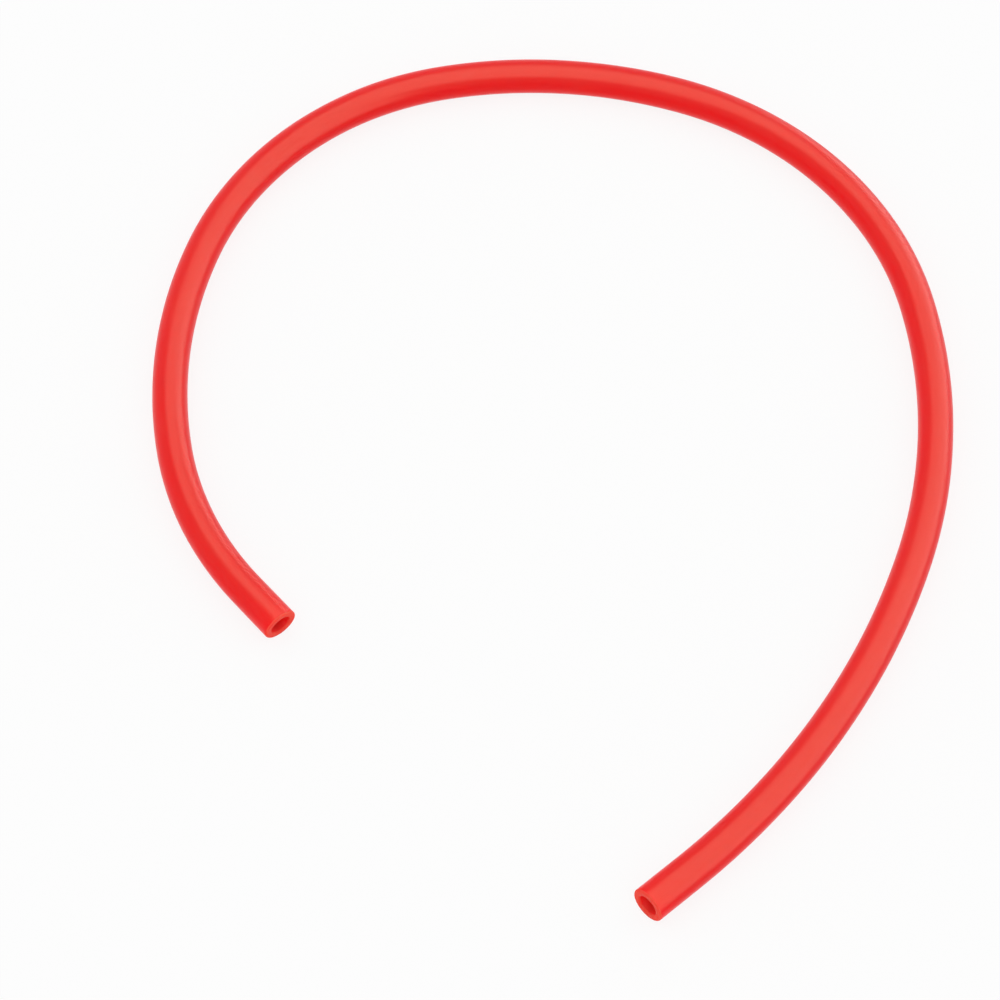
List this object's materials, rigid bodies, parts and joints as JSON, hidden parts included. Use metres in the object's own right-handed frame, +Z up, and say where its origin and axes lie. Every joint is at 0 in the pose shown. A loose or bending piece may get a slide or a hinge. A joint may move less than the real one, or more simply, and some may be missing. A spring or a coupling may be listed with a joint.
{
  "type": "rubber vacuum tubing",
  "caption": "Flexible red rubber tube with a round bore and an even wall, lying in an open loop, both ends cut square, for joining vacuum and gas lines on a bench.",
  "frame": {"origin": "on the surface the tube lies on, under the middle of the loop's bounding box", "axes": "+Z up from the surface; the tail mouth faces -X, the head mouth faces -Y, and the loop is longest along Y"},
  "size_m": [0.2274, 0.2614, 0.01],
  "materials": {
    "red_rubber": "satin, extruded"
  },
  "bodies": {
    "root": {"rubber_tube": "red_rubber"}
  },
  "joints": []
}
